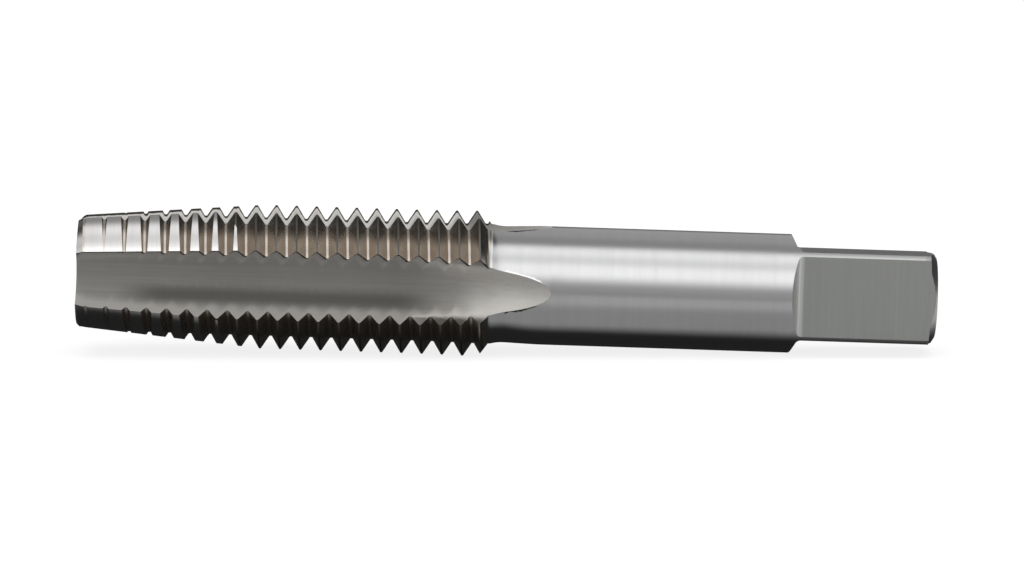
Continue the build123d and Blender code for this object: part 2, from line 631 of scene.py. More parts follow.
    def rim(self, rows: Rings, quarter: int, side: int) -> tuple[Array, Array, Array]:
        """Edge of one mouth: where its wall meets the land.

        For a flute, the length along its outline is halved and halved again
        until the point's radius is the land's.  For a flat, the edge is
        acos(height / radius) from its middle.

        Args:
            rows: the rings.
            quarter: which mouth, 0 to 3.
            side: -1 for the cutting face, +1 for the heel.

        Returns:
            Position along the axis, turn, and length along the outline.
        """
        marks, plain = np.array(rows.marks), np.array(rows.plain)
        wrap = 360.0 if quarter == 0 and side < 0 else 0.0
        middle = QUARTER * quarter
        turn = np.full(len(plain), middle + side * self.flute.half_width)
        for _ in range(self.counts.passes):
            x = self.ring_place(marks, plain, turn, wrap)
            low, high = np.zeros(len(x)), np.full(len(x), self.longest)
            for _ in range(self.counts.halvings):
                trial = (low + high) / 2
                outward, sideways = self.flute.section(side * trial, x)
                angle = middle - self.flute.lean + np.degrees(np.arctan2(sideways, outward))
                outside = np.hypot(outward, sideways) > self.land_radius(x, angle)
                low, high = np.where(outside, low, trial), np.where(outside, trial, high)
            along = side * (low + high) / 2
            outward, sideways = self.flute.section(along, x)
            angle = middle - self.flute.lean + np.degrees(np.arctan2(sideways, outward))
            turn = np.where(x < self.flute_tip, angle, turn)
        closed = x >= self.flute_tip - TINY
        height = self.flat_height(x)
        radius = self.blank.tail_radius(x)
        half = np.degrees(np.arccos(np.clip(height / radius, -1.0, 1.0)))
        flat = middle + self.square.turn + side * half
        turn = np.where(closed, middle + self.closed_turn(x), turn)
        turn = np.where(x > self.shoulder_start, flat, turn)
        return x, turn, np.where(closed, 0.0, along)

    def mouth(self, quarter: int, cutting: tuple[Array, ...], heel: tuple[Array, ...]) -> tuple[Array, Array]:
        """Points over one mouth, from its cutting edge to before its heel edge.

        The columns share out the cutting face, the round bottom and the heel
        wall, and on the square the straight line across the flat.

        Args:
            quarter: which mouth, 0 to 3.
            cutting: the cutting edge, as rim gives it.
            heel: the heel edge, as rim gives it.

        Returns:
            Points, one row for each ring and one column for each step, and
            their distances from the cutting edge, from the heel edge and,
            along the outline, from the deepest line.
        """
        face, bottom, wall = self.counts.mouth
        first, last = self.flute.walls
        start, end = cutting[2][:, None], heel[2][:, None]
        knee = np.maximum(first * self.flute.round, self.knee * start)
        heel_knee = np.minimum(last * self.flute.round, self.knee * end)
        shares = [np.arange(n)[None, :] / n for n in (face, bottom, wall)]
        along = np.hstack([start + (knee - start) * shares[0],
                           knee + (heel_knee - knee) * shares[1],
                           heel_knee + (end - heel_knee) * shares[2]])
        across = np.arange(face + bottom + wall)[None, :] / (face + bottom + wall)
        x = cutting[0][:, None] + (heel[0] - cutting[0])[:, None] * across
        outward, sideways = self.flute.section(along, x)
        middle = QUARTER * quarter
        flute = self.place(x, np.hypot(outward, sideways),
                           middle - self.flute.lean + np.degrees(np.arctan2(sideways, outward)))
        radius = self.land_radius(x, cutting[1][:, None])
        left = self.place(x, radius, np.broadcast_to(cutting[1][:, None], x.shape))
        right = self.place(x, radius, np.broadcast_to(heel[1][:, None], x.shape))
        flat = left + (right - left) * across[:, :, None]
        closed = (cutting[0] >= self.flute_tip - TINY)[:, None]
        reach = np.where(closed[:, :, None], self.no_edge,
                         np.stack([along - start, end - along, along], axis=-1))
        return np.where(closed[:, :, None], flat, flute), reach

    def land(self, rows: Rings, heel: tuple[Array, ...], cutting: tuple[Array, ...]) -> tuple[Array, Array]:
        """Points over one land, from its heel edge to before its cutting edge.

        Args:
            rows: the rings.
            heel: its heel edge, as rim gives it.
            cutting: its cutting edge, with turns past 360 taken on.

        Returns:
            Points, one row for each ring and one column for each step, and
            their distances from the cutting edge, from the heel edge and, far
            off, from any flute's deepest line.
        """
        marks, plain = np.array(rows.marks), np.array(rows.plain)
        share = np.arange(self.counts.land)[None, :] / self.counts.land
        turn = heel[1][:, None] + (cutting[1] - heel[1])[:, None] * share
        x = self.ring_place(marks, plain, turn, 0.0)
        x[:, 0] = heel[0]
        radius = self.land_radius(x, turn)
        swing = np.radians(np.stack([cutting[1][:, None] - turn, turn - heel[1][:, None]], axis=-1))
        past = np.maximum(x - self.flute_tip, 0.0)[:, :, None]
        reach = np.minimum(np.hypot(radius[:, :, None] * swing, past), self.no_edge)
        inward = np.full((*x.shape, 1), self.no_edge)
        return self.place(x, radius, turn), np.concatenate([reach, inward], axis=-1)

    @staticmethod
    def place(x: Array, radius: Array, turn: Array) -> Array:
        """Point at a position along the axis, a radius and a turn."""
        angle = np.radians(turn)
        return np.stack([x, -radius * np.cos(angle), radius * np.sin(angle)], axis=-1)

    # ---- mesh --------------------------------------------------------

    def grid(self) -> tuple[Array, Array, list[tuple[Zone, Zone]]]:
        """All rings of the body, and the zones of the strip after each.

        Returns:
            Points of shape (rings, columns, 3), distances from the flutes'
            lines of the same shape, and (mouth, land) zones.
        """
        rows = self.rings()
        rims = [(self.rim(rows, quarter, -1), self.rim(rows, quarter, 1)) for quarter in range(4)]
        x, turn, along = rims[0][0]
        ahead = [rims[quarter][0] for quarter in (1, 2, 3)] + [(x, turn + 360.0, along)]
        parts: list[tuple[Array, Array]] = []
        for quarter, (cutting, heel) in enumerate(rims):
            parts += [self.mouth(quarter, cutting, heel), self.land(rows, heel, ahead[quarter])]
        return np.hstack([p for p, _ in parts]), np.hstack([r for _, r in parts]), rows.zones

    def centre_rings(self, x: float, depth: float, turn: Array) -> list[Array]:
        """Mouth and floor of a lathe centre, and the pole that closes it.

        Args:
            x: the end face.
            depth: signed depth of the cone.
            turn: turn of each column.

        Returns:
            Three rings, from the mouth inward.
        """
        ones = np.ones_like(turn)
        return [self.place(x * ones, self.blank.centre * ones, turn),
                self.place((x + depth) * ones, self.blank.centre_floor * ones, turn),
                self.place((x + depth) * ones, 0.0 * ones, turn)]

    def point_turns(self) -> Array:
        """Turn of each column on the mouth of the point's centre.

        The columns are gathered toward the lands there, so the end face's
        strips stay on its metal beside the hooked cutting faces.
        """
        first, last = self.point_mouth
        columns = np.concatenate([np.linspace(first, last, sum(self.counts.mouth) + 1)[:-1],
                                  np.linspace(last, first + QUARTER, self.counts.land + 1)[:-1]])
        return np.concatenate([columns + QUARTER * quarter for quarter in range(4)])

    def build(self) -> bpy.types.Object:
        """Makes the tap's mesh, with one material slot for each zone.

        Returns:
            The tap's object, at the origin and in metres.
        """
        body, reach, zones = self.grid()
        rear = body[-1]
        rear_turn = np.degrees(np.arctan2(rear[:, 2], -rear[:, 1]))
        front = self.centre_rings(0.0, self.blank.centre_depth, self.point_turns())[::-1]
        back = self.centre_rings(self.blank.length, -self.blank.centre_depth, rear_turn)
        points = np.concatenate([front, body, back])
        reach = np.concatenate([np.broadcast_to(reach[0], (3, *reach.shape[1:])), reach,
                                np.full((3, *reach.shape[1:]), self.no_edge)])
        strips = ([(Zone.CENTRE, Zone.CENTRE)] * 2 + [(Zone.END, Zone.END)] + zones[:-1]
                  + [(Zone.END, Zone.END)] + [(Zone.CENTRE, Zone.CENTRE)] * 2)
        count = points.shape[1]
        index = np.arange(points.shape[0] * count).reshape(points.shape[:2])
        ahead = np.roll(index, -1, axis=1)
        faces = np.stack([index[:-1], ahead[:-1], ahead[1:], index[1:]], axis=-1).reshape(-1, 4)
        is_mouth = np.tile(np.repeat([True, False], [sum(self.counts.mouth), self.counts.land]), 4)
        mouth_zone = np.array([m.value for m, _ in strips])[:, None]
        land_zone = np.array([n.value for _, n in strips])[:, None]
        zone = np.where(is_mouth[None, :], mouth_zone, land_zone).ravel()
        middle = points.reshape(-1, 3)[faces].mean(axis=1)
        ground = np.hypot(middle[:, 1], middle[:, 2]) < self.thread.major - self.full_crest
        ground &= middle[:, 0] < self.flute.runout / 2
        zone = np.where((zone == Zone.CREST.value) & ground, Zone.LEAD.value, zone)
        return self.to_object(points.reshape(-1, 3) * MM, faces, zone, reach.reshape(-1, 3) * MM)

    @staticmethod
    def to_object(points: Array, faces: Array, zone: Array, reach: Array, merge: float = 4e-7,
                  crease: float = 14.0) -> bpy.types.Object:
        """Puts the grid into a mesh, merges what meets and marks hard edges.

        Args:
            points: vertices in metres.
            faces: four indices for each face.
            zone: material index of each face.
            reach: distances from the cutting edge, the heel edge and the
                flute's deepest line.
            merge: points nearer than this, in metres, become one.
            crease: an edge bent by more than this, in degrees, is hard.

        Returns:
            The finished object.
        """
        mesh = bpy.data.meshes.new("tap_body")
        mesh.from_pydata(points.tolist(), [], faces.tolist())
        for _ in Zone:
            mesh.materials.append(None)
        mesh.polygons.foreach_set("material_index", zone.astype(np.int32))
        for edge, values in zip(Edge, reach.T):
            layer = mesh.attributes.new(edge.value, "FLOAT", "POINT")
            layer.data.foreach_set("value", np.ascontiguousarray(values, dtype=np.float32))
        work = bmesh.new()
        work.from_mesh(mesh)
        bmesh.ops.remove_doubles(work, verts=work.verts, dist=merge)
        bmesh.ops.dissolve_degenerate(work, edges=work.edges, dist=merge)
        bmesh.ops.recalc_face_normals(work, faces=work.faces)
        work.to_mesh(mesh)
        work.free()
        mesh.polygons.foreach_set("use_smooth", np.ones(len(mesh.polygons), dtype=bool))
        mesh.set_sharp_from_angle(angle=math.radians(crease))
        tap = bpy.data.objects.new("tap_body", mesh)
        bpy.context.scene.collection.objects.link(tap)
        return tap


# --------------------------------------------------------------------------
# Finishes
# --------------------------------------------------------------------------

Socket = bpy.types.NodeSocket


class Graph:
    """Short calls for wiring the nodes of one tree."""

    def __init__(self, tree: bpy.types.NodeTree) -> None:
        """Keeps the tree that the nodes go into.

        Args:
            tree: a material's, a world's or a group's node tree.
        """
        self.tree = tree

    def add(self, kind: str, **settings: object) -> bpy.types.Node:
        """Adds a node and sets its named properties."""
        node = self.tree.nodes.new(kind)
        for name, value in settings.items():
            setattr(node, name, value)
        return node

    def feed(self, socket: Socket, value: Socket | float | tuple[float, ...]) -> None:
        """Links a socket to an input, or sets the input to a constant."""
        if isinstance(value, bpy.types.NodeSocket):
            self.tree.links.new(value, socket)
        else:
            socket.default_value = value

    def math(self, operation: str, *values: Socket | float) -> Socket:
        """Adds a Math node and returns its result."""
        node = self.add("ShaderNodeMath", operation=operation)
        for socket, value in zip(node.inputs, values):
            self.feed(socket, value)
        return node.outputs[0]

    def step(self, value: Socket | float, low: float, high: float) -> Socket:
        """Smooth step: 0 up to one bound, 1 from the other on."""
        node = self.add("ShaderNodeMapRange", interpolation_type="SMOOTHSTEP")
        for socket, entry in zip(node.inputs, (value, low, high, 0.0, 1.0)):
            self.feed(socket, entry)
        return node.outputs[0]

    def spread(self, value: Socket, low: Socket | float, high: Socket | float) -> Socket:
        """Straight mix of two values by a value from 0 to 1."""
        node = self.add("ShaderNodeMapRange")
        for socket, entry in zip(node.inputs, (value, 0.0, 1.0, low, high)):
            self.feed(socket, entry)
        return node.outputs[0]

    def blend(self, share: Socket | float, first: Socket | tuple[float, ...],
              second: Socket | tuple[float, ...]) -> Socket:
        """Mixes two colours and returns the mix."""
        node = self.add("ShaderNodeMix", data_type="RGBA")
        self.feed(node.inputs[0], share)
        self.feed(node.inputs[6], first)
        self.feed(node.inputs[7], second)
        return node.outputs[2]

    def split(self, vector: Socket) -> tuple[Socket, Socket, Socket]:
        """Splits a vector into its three parts."""
        node = self.add("ShaderNodeSeparateXYZ")
        self.feed(node.inputs[0], vector)
        return tuple(node.outputs)

    def join(self, *parts: Socket | float) -> Socket:
        """Joins three values into a vector."""
        node = self.add("ShaderNodeCombineXYZ")
        for socket, part in zip(node.inputs, parts):
            self.feed(socket, part)
        return node.outputs[0]

    def noise(self, vector: Socket, scale: Socket | float, detail: float, rough: float = 0.5) -> Socket:
        """Adds a noise texture and returns its value."""
        node = self.add("ShaderNodeTexNoise")
        self.feed(node.inputs["Vector"], vector)
        self.feed(node.inputs["Scale"], scale)
        self.feed(node.inputs["Detail"], detail)
        self.feed(node.inputs["Roughness"], rough)
        return node.outputs[0]

    def use(self, group: bpy.types.NodeTree, **values: Socket | float) -> bpy.types.Node:
        """Places a node group with its own values.

        Args:
            group: the group's tree.
            values: inputs by name, with spaces written as underscores.

        Returns:
            The group's node.
        """
        node = self.add("ShaderNodeGroup", node_tree=group)
        for name, value in values.items():
            self.feed(node.inputs[name.replace("_", " ")], value)
        return node


class Grain(Enum):
    """Way in which the marks of a grinding wheel or a lathe tool run."""

    AROUND = "around"
    ALONG = "along"
    HELICAL = "helical"
    FACED = "faced"


class SteelEffects:
    """Node groups that all of the tap's finishes share, each built once.

    Attributes:
        BROAD: scale of the broad marks over that of the fine ones.
        BROAD_HEIGHT: height of the broad marks over that of the fine ones.
        FACING: how a lathe's facing marks turn with the place along the axis.
        CELL: a nick's reach in its cell, as a share of the cell.
        WANDER: waves of a ragged edge to the metre.
        FINE_STEP, BROAD_STEP, FILM_STEP: parts of a noise's range over which
            fine marks, broad marks and the film go from nothing to full.
        NICK_STEP: distances in a cell over which a nick ends.
    """

    BROAD, BROAD_HEIGHT, FACING, CELL, WANDER = 0.13, 1.6, 1.4, 0.16, 1900.0
    FINE_STEP, BROAD_STEP, FILM_STEP = (0.30, 0.70), (0.32, 0.68), (0.35, 0.72)
    NICK_STEP = (0.04, 0.10)

    def __init__(self) -> None:
        """Builds the groups."""
        self.marks = {grain: self.build_marks(grain) for grain in Grain}
        self.stains = self.build_stains()
        self.pits = self.build_pits()
        self.line = self.build_line()

    @staticmethod
    def start(name: str, inputs: dict[str, str],
              outputs: list[str]) -> tuple[Graph, bpy.types.Node, bpy.types.Node]:
        """Makes an empty group with its sockets.

        Args:
            name: the group's name.
            inputs: socket kinds by name.
            outputs: names of the value outputs.

        Returns:
            The graph, the inputs' node and the outputs' node.
        """
        tree = bpy.data.node_groups.new(name, "ShaderNodeTree")
        for label, kind in inputs.items():
            tree.interface.new_socket(label, in_out="INPUT", socket_type=kind)
        for label in outputs:
            tree.interface.new_socket(label, in_out="OUTPUT", socket_type="NodeSocketFloat")
        graph = Graph(tree)
        return graph, graph.add("NodeGroupInput"), graph.add("NodeGroupOutput")

    def build_marks(self, grain: Grain) -> bpy.types.NodeTree:
        """Fine parallel marks: noise drawn out along the wheel's way.

        Across the marks the coordinate is the length over the given spacing;
        along them it is the same divided by the given length ratio.

        Args:
            grain: which way the marks run.

        Returns:
            Group with the outputs Fine, Broad and Height, from 0 to 1.
        """
        graph, inputs, outputs = self.start(f"{grain.value}_marks", {
            "Vector": "NodeSocketVector", "Spacing": "NodeSocketFloat",
            "Ratio": "NodeSocketFloat"}, ["Fine", "Broad", "Height"])
        x, y, z = graph.split(inputs.outputs["Vector"])
        radius = graph.math("SQRT", graph.math("ADD", graph.math("MULTIPLY", y, y),
                                               graph.math("MULTIPLY", z, z)))
        across = graph.math("DIVIDE", 1.0, inputs.outputs["Spacing"])
        along = graph.math("DIVIDE", across, inputs.outputs["Ratio"])
        if grain is Grain.ALONG:
            ways = ((x, along), (y, across), (z, across))
        elif grain is Grain.AROUND:
            ways = ((x, across), (y, along), (z, along))
        elif grain is Grain.HELICAL:
            ways = ((radius, across), (y, along), (z, along))
        else:
            faced = graph.math("MULTIPLY_ADD", x, self.FACING, radius)
            ways = ((faced, across), (y, along), (z, along))
        drawn = graph.join(*(graph.math("MULTIPLY", place, scale) for place, scale in ways))
        narrow = graph.noise(drawn, 1.0, 5.0, 0.62)
        broad = graph.noise(drawn, self.BROAD, 3.0, 0.55)
        graph.feed(outputs.inputs["Fine"], graph.step(narrow, *self.FINE_STEP))
        graph.feed(outputs.inputs["Broad"], graph.step(broad, *self.BROAD_STEP))
        graph.feed(outputs.inputs["Height"], graph.math("MULTIPLY_ADD", broad, self.BROAD_HEIGHT, narrow))
        return graph.tree

    def build_stains(self) -> bpy.types.NodeTree:
        """Thin film of oil and handling: broad soft clouds.

        Returns:
            Group with the output Film, from 0 to 1.
        """
        graph, inputs, outputs = self.start("oil_film", {
            "Vector": "NodeSocketVector", "Size": "NodeSocketFloat"}, ["Film"])
        scale = graph.math("DIVIDE", 1.0, inputs.outputs["Size"])
        cloud = graph.noise(inputs.outputs["Vector"], scale, 4.0, 0.55)
        graph.feed(outputs.inputs["Film"], graph.step(cloud, *self.FILM_STEP))
        return graph.tree

    def build_pits(self) -> bpy.types.NodeTree:
        """Sparse nicks: near the centres of a few cells of a Voronoi pattern.

        A cell holds a nick where its random value is under the share given.

        Returns:
            Group with the output Pit, 1 inside a nick.
        """
        graph, inputs, outputs = self.start("nicks", {
            "Vector": "NodeSocketVector", "Size": "NodeSocketFloat",
            "Share": "NodeSocketFloat"}, ["Pit"])
        cells = graph.add("ShaderNodeTexVoronoi")
        graph.feed(cells.inputs["Vector"], inputs.outputs["Vector"])
        graph.feed(cells.inputs["Scale"], graph.math("DIVIDE", self.CELL, inputs.outputs["Size"]))
        chance, _, _ = graph.split(cells.outputs["Color"])
        inside = graph.math("SUBTRACT", 1.0, graph.step(cells.outputs["Distance"], *self.NICK_STEP))
        chosen = graph.math("LESS_THAN", chance, inputs.outputs["Share"])
        graph.feed(outputs.inputs["Pit"], graph.math("MULTIPLY", inside, chosen))
        return graph.tree

    def build_line(self) -> bpy.types.NodeTree:
        """Line beside an edge: 1 within a wandering width of its middle.

        The distance from the line's middle is divided by a width that a noise
        takes between nothing and twice its value, as far as the raggedness
        says.  The line fades over its soft share, and at both ends of its span.

        Returns:
            Group with the output Line, from 0 to 1.
        """
        graph, inputs, outputs = self.start("edge_line", {
            "Vector": "NodeSocketVector", "Distance": "NodeSocketFloat",
            "Middle": "NodeSocketFloat", "Width": "NodeSocketFloat",
            "Soft": "NodeSocketFloat", "Ragged": "NodeSocketFloat",
            "From": "NodeSocketFloat", "To": "NodeSocketFloat",
            "Fade": "NodeSocketFloat"}, ["Line"])
        sockets = inputs.outputs
        wander = graph.math("MULTIPLY_ADD", graph.noise(sockets["Vector"], self.WANDER, 3.0), 4.0, -2.0)
        width = graph.math("MULTIPLY", sockets["Width"],
                           graph.math("MULTIPLY_ADD", wander, sockets["Ragged"], 1.0))
        away = graph.math("ABSOLUTE", graph.math("SUBTRACT", sockets["Distance"], sockets["Middle"]))
        share = graph.math("DIVIDE", away, graph.math("MAXIMUM", width, 1e-6))
        inside = graph.step(share, 1.0, graph.math("SUBTRACT", 1.0, sockets["Soft"]))
        x, _, _ = graph.split(sockets["Vector"])
        after = graph.step(graph.math("SUBTRACT", x, sockets["From"]), 0.0, sockets["Fade"])
        before = graph.step(graph.math("SUBTRACT", sockets["To"], x), 0.0, sockets["Fade"])
        ends = graph.math("MULTIPLY", after, before)
        graph.feed(outputs.inputs["Line"], graph.math("MULTIPLY", inside, ends))
        return graph.tree


@dataclass(frozen=True)
class EdgeLine:
    """Line that follows an edge of a flute: a change of finish, or a painted highlight or painted shade, some
    of them on a burr.

    With a width beyond the tap's own it is a band round the whole tap.

    Attributes:
        edge: what the distances are measured from.
        width: how far the line reaches from its middle, in millimetres.
        ragged: how far its side wanders, as a share of the width.
        span: stretch of the tap's length that has it, in millimetres.
        colour: colour of the line.
        rough: roughness of the line.
        middle: distance of the line's middle from the edge, in millimetres.
        soft: share of the width over which it fades out sideways.
        fade: length over which it fades out at its ends, in millimetres.
        strength: how much of the colour it lays on.
    """

    edge: Edge
    width: float
    ragged: float
    span: tuple[float, float]
    colour: tuple[float, float, float]
    rough: float
    middle: float = 0.0
    soft: float = 0.3
    fade: float = 0.6
    strength: float = 1.0


@dataclass(frozen=True)
class SteelFinish:
    """Ground or turned high-speed steel.

    Attributes:
        name: the material's name.
        grain: way the marks run.
        light: colour of clean metal.
        dark: colour in the marks and under the film.
        rough: roughness of clean metal.
        dull: roughness in the marks and under the film.
        spacing: distance between marks, in millimetres.
        ratio: length of the marks over their spacing.
        depth: height of the marks for the bump, in millimetres.
        sideways: how much wider the marks spread light across them than along.
        broad: share of the broad marks in the wear, beside the fine ones.
        wear: strength of the marks' wear.
        film: strength of the oil film's clouds.
        film_size: size of those clouds, in millimetres.
        nicks: share of the cells that hold a nick.
        nick_size: size of a cell, in millimetres.
        nick_depth: depth of a nick over the height of the marks.
        lines: burrs, painted highlights and painted shade along the flutes'
        edges, and other stretches that differ.
    """

    name: str
    grain: Grain
    light: tuple[float, float, float] = (0.63, 0.63, 0.635)
    dark: tuple[float, float, float] = (0.585, 0.585, 0.59)
    rough: float = 0.17
    dull: float = 0.23
    spacing: float = 0.25
    ratio: float = 40.0
    depth: float = 0.0008
    sideways: float = 0.0
    broad: float = 0.55
    wear: float = 0.75
    film: float = 0.30
    film_size: float = 14.0
    nicks: float = 0.02
    nick_size: float = 0.4
    nick_depth: float = 6.0
    lines: tuple[EdgeLine, ...] = ()

    def build(self, effects: SteelEffects) -> bpy.types.Material:
        """Makes the material.

        Args:
            effects: the shared node groups.

        Returns:
            A Principled metal with marks, film, nicks and edge lines.
        """
        material = bpy.data.materials.new(self.name)
        material.use_nodes = True
        graph = Graph(material.node_tree)
        shader = material.node_tree.nodes["Principled BSDF"]
        shader.inputs["Metallic"].default_value = 1.0
        shader.inputs["Anisotropic"].default_value = self.sideways
        if self.sideways:
            around = graph.add("ShaderNodeTangent", direction_type="RADIAL", axis="X")
            graph.feed(shader.inputs["Tangent"], around.outputs[0])
        place = graph.add("ShaderNodeTexCoord").outputs["Object"]
        marks = graph.use(effects.marks[self.grain], Vector=place, Spacing=self.spacing * MM,
                          Ratio=self.ratio)
        film = graph.use(effects.stains, Vector=place, Size=self.film_size * MM).outputs["Film"]
        pit = graph.use(effects.pits, Vector=place, Size=self.nick_size * MM,
                        Share=self.nicks).outputs["Pit"]
        worn = graph.math("MULTIPLY_ADD", marks.outputs["Broad"], self.broad,
                          graph.math("MULTIPLY", marks.outputs["Fine"], 1.0 - self.broad))
        veil = graph.math("MULTIPLY", film, self.film)
        shade = graph.math("MAXIMUM", graph.math("MULTIPLY_ADD", worn, self.wear, veil), pit)
        colour = graph.blend(graph.math("MINIMUM", shade, 1.0), (*self.light, 1.0), (*self.dark, 1.0))
        rough = graph.spread(shade, self.rough, self.dull)
        for line in self.lines:
            away = graph.add("ShaderNodeAttribute", attribute_name=line.edge.value).outputs["Fac"]
            mask = graph.use(effects.line, Vector=place, Distance=away, Middle=line.middle * MM,
                             Width=line.width * MM, Soft=line.soft, Ragged=line.ragged,
                             From=line.span[0] * MM, To=line.span[1] * MM,
                             Fade=line.fade * MM).outputs["Line"]
            mask = graph.math("MULTIPLY", mask, line.strength)
            colour = graph.blend(mask, colour, (*line.colour, 1.0))
            rough = graph.spread(mask, rough, line.rough)
        graph.feed(shader.inputs["Base Color"], colour)
        graph.feed(shader.inputs["Roughness"], rough)
        bump = graph.add("ShaderNodeBump")
        bump.inputs["Distance"].default_value = self.depth * MM
        height = graph.math("SUBTRACT", marks.outputs["Height"], graph.math("MULTIPLY", pit, self.nick_depth))
        graph.feed(bump.inputs["Height"], height)
        graph.feed(shader.inputs["Normal"], bump.outputs[0])
        return material


# Painted shade: a near-black line along each flute's heel edge.
HEEL_EDGE_SHADE = EdgeLine(Edge.HEEL, 0.36, 0.25, (-1.0, 52.0), (0.07, 0.065, 0.055), 0.5)
HEEL_WALL = EdgeLine(Edge.HEEL, 2.4, 0.05, (-6.0, 50.0), (0.62, 0.605, 0.575), 0.26, soft=0.8,
                     fade=3.0, strength=0.85)
CUTTING_FACE = EdgeLine(Edge.CUTTING, 2.6, 0.05, (-6.0, 50.0), (0.52, 0.505, 0.48), 0.40, soft=0.7,
                        fade=3.0, strength=0.8)
# Painted shade: a dark band along the lower side of each flute's bottom, where the flute lies in shade.
FLUTE_BOTTOM_SHADE = EdgeLine(Edge.BOTTOM, 1.9, 0.10, (4.0, 47.0), (0.16, 0.155, 0.145), 0.62,
                       middle=-2.0, soft=0.9, fade=7.0, strength=0.8)
# Painted highlight: a pale band over the lower side of each flute's run-out.
RUNOUT_HIGHLIGHT = EdgeLine(Edge.BOTTOM, 4.4, 0.05, (46.5, 62.0), (0.74, 0.725, 0.69), 0.40,
                        middle=-2.6, soft=0.9, fade=4.0, strength=0.45)
# Torn burr along the run-out's cutting edge, drawn as a near-black ragged line of painted shade.
TORN_BURR_SHADE = EdgeLine(Edge.CUTTING, 0.26, 0.9, (53.5, 58.0), (0.07, 0.07, 0.065), 0.6)
# Rolled burr along the run-out's heel edge, drawn as a near-white ragged line of painted highlight.
ROLLED_BURR_HIGHLIGHT = EdgeLine(Edge.HEEL, 0.24, 0.5, (53.5, 58.5), (0.95, 0.95, 0.94), 0.5)
# Painted highlight: a pale band round the square's sloped shoulders, for the light that they catch.
RAMP_HIGHLIGHT = EdgeLine(Edge.BOTTOM, 1000.0, 0.0, (89.0, 91.35), (0.86, 0.87, 0.85), 0.34, fade=0.8)


@dataclass(frozen=True)
class TapFinishes:
    """Which finish each stretch of the tap has."""

    flute: SteelFinish = SteelFinish("flute_grind", Grain.ALONG, light=(0.49, 0.475, 0.45),
                                     dark=(0.38, 0.365, 0.345), rough=0.55, dull=0.66,
                                     spacing=0.30, ratio=60.0, depth=0.004, sideways=1.0,
                                     lines=(CUTTING_FACE, HEEL_WALL, FLUTE_BOTTOM_SHADE, RUNOUT_HIGHLIGHT,
                                            HEEL_EDGE_SHADE))
    flank: SteelFinish = SteelFinish("thread_grind", Grain.HELICAL, light=(0.62, 0.58, 0.53),
                                     dark=(0.50, 0.45, 0.40), rough=0.16, dull=0.28,
                                     spacing=0.12, ratio=60.0, depth=0.0005)
    lead: SteelFinish = SteelFinish("lead_grind", Grain.AROUND, light=(0.66, 0.65, 0.645),
                                    dark=(0.58, 0.57, 0.56), spacing=0.16, depth=0.0005)
    # Painted shade: the full thread's crests are near-black so that they show as thin dark lines, not as
    # reflections.
    crest: SteelFinish = SteelFinish("crest_painted_dark", Grain.AROUND, light=(0.17, 0.16, 0.145),
                                     dark=(0.09, 0.083, 0.075), rough=0.34, dull=0.50,
                                     spacing=0.16, depth=0.0010)
    shank: SteelFinish = SteelFinish("shank_grind", Grain.AROUND, lines=(TORN_BURR_SHADE, ROLLED_BURR_HIGHLIGHT))
    square: SteelFinish = SteelFinish("square_grind", Grain.AROUND, light=(0.43, 0.44, 0.425),
                                      dark=(0.31, 0.32, 0.305), rough=0.28, dull=0.40,
                                      spacing=0.32, ratio=26.0, depth=0.003,
                                      lines=(RAMP_HIGHLIGHT,))
    end: SteelFinish = SteelFinish("turned_end", Grain.FACED, light=(0.55, 0.54, 0.53),
                                   dark=(0.40, 0.39, 0.38), rough=0.26, dull=0.40,
                                   spacing=0.20, ratio=50.0, depth=0.002)
    centre: SteelFinish = SteelFinish("lathe_centre", Grain.FACED, light=(0.50, 0.49, 0.47),
                                      dark=(0.34, 0.33, 0.32), rough=0.30, dull=0.45,
                                      spacing=0.16, ratio=50.0, depth=0.002)

    def dress(self, tap: bpy.types.Object, effects: SteelEffects) -> None:
        """Fills the tap's material slots, one for each zone.

        Args:
            tap: the tap's object.
            effects: the shared node groups.
        """
        flank = self.flank.build(effects)
        slots = {Zone.FLUTE: self.flute.build(effects), Zone.FLANK: flank, Zone.ROOT: flank,
                 Zone.LEAD: self.lead.build(effects), Zone.CREST: self.crest.build(effects),
                 Zone.SHANK: self.shank.build(effects), Zone.SQUARE: self.square.build(effects),
                 Zone.END: self.end.build(effects), Zone.CENTRE: self.centre.build(effects)}
        for zone, material in slots.items():
            tap.data.materials[zone.value] = material
            LOG.info("finish %s on %s", material.name, zone.name.lower())


# --------------------------------------------------------------------------
# Studio
# --------------------------------------------------------------------------


@dataclass(frozen=True)
class Panel:
    """Long soft light or screen that runs beside the tap.

    Attributes:
        rise: where it fades in, as turns about the tap's axis in degrees,
            with 0 toward the camera and 90 overhead.
        fall: where it fades out.
        level: brightness that it adds.
        span: where it lies along the tap, as the lengthwise part of a
            direction, from -1 toward the point to 1 toward the square.
    """

    rise: tuple[float, float]
    fall: tuple[float, float]
    level: float
    span: tuple[float, float] = (-2.0, 2.0)


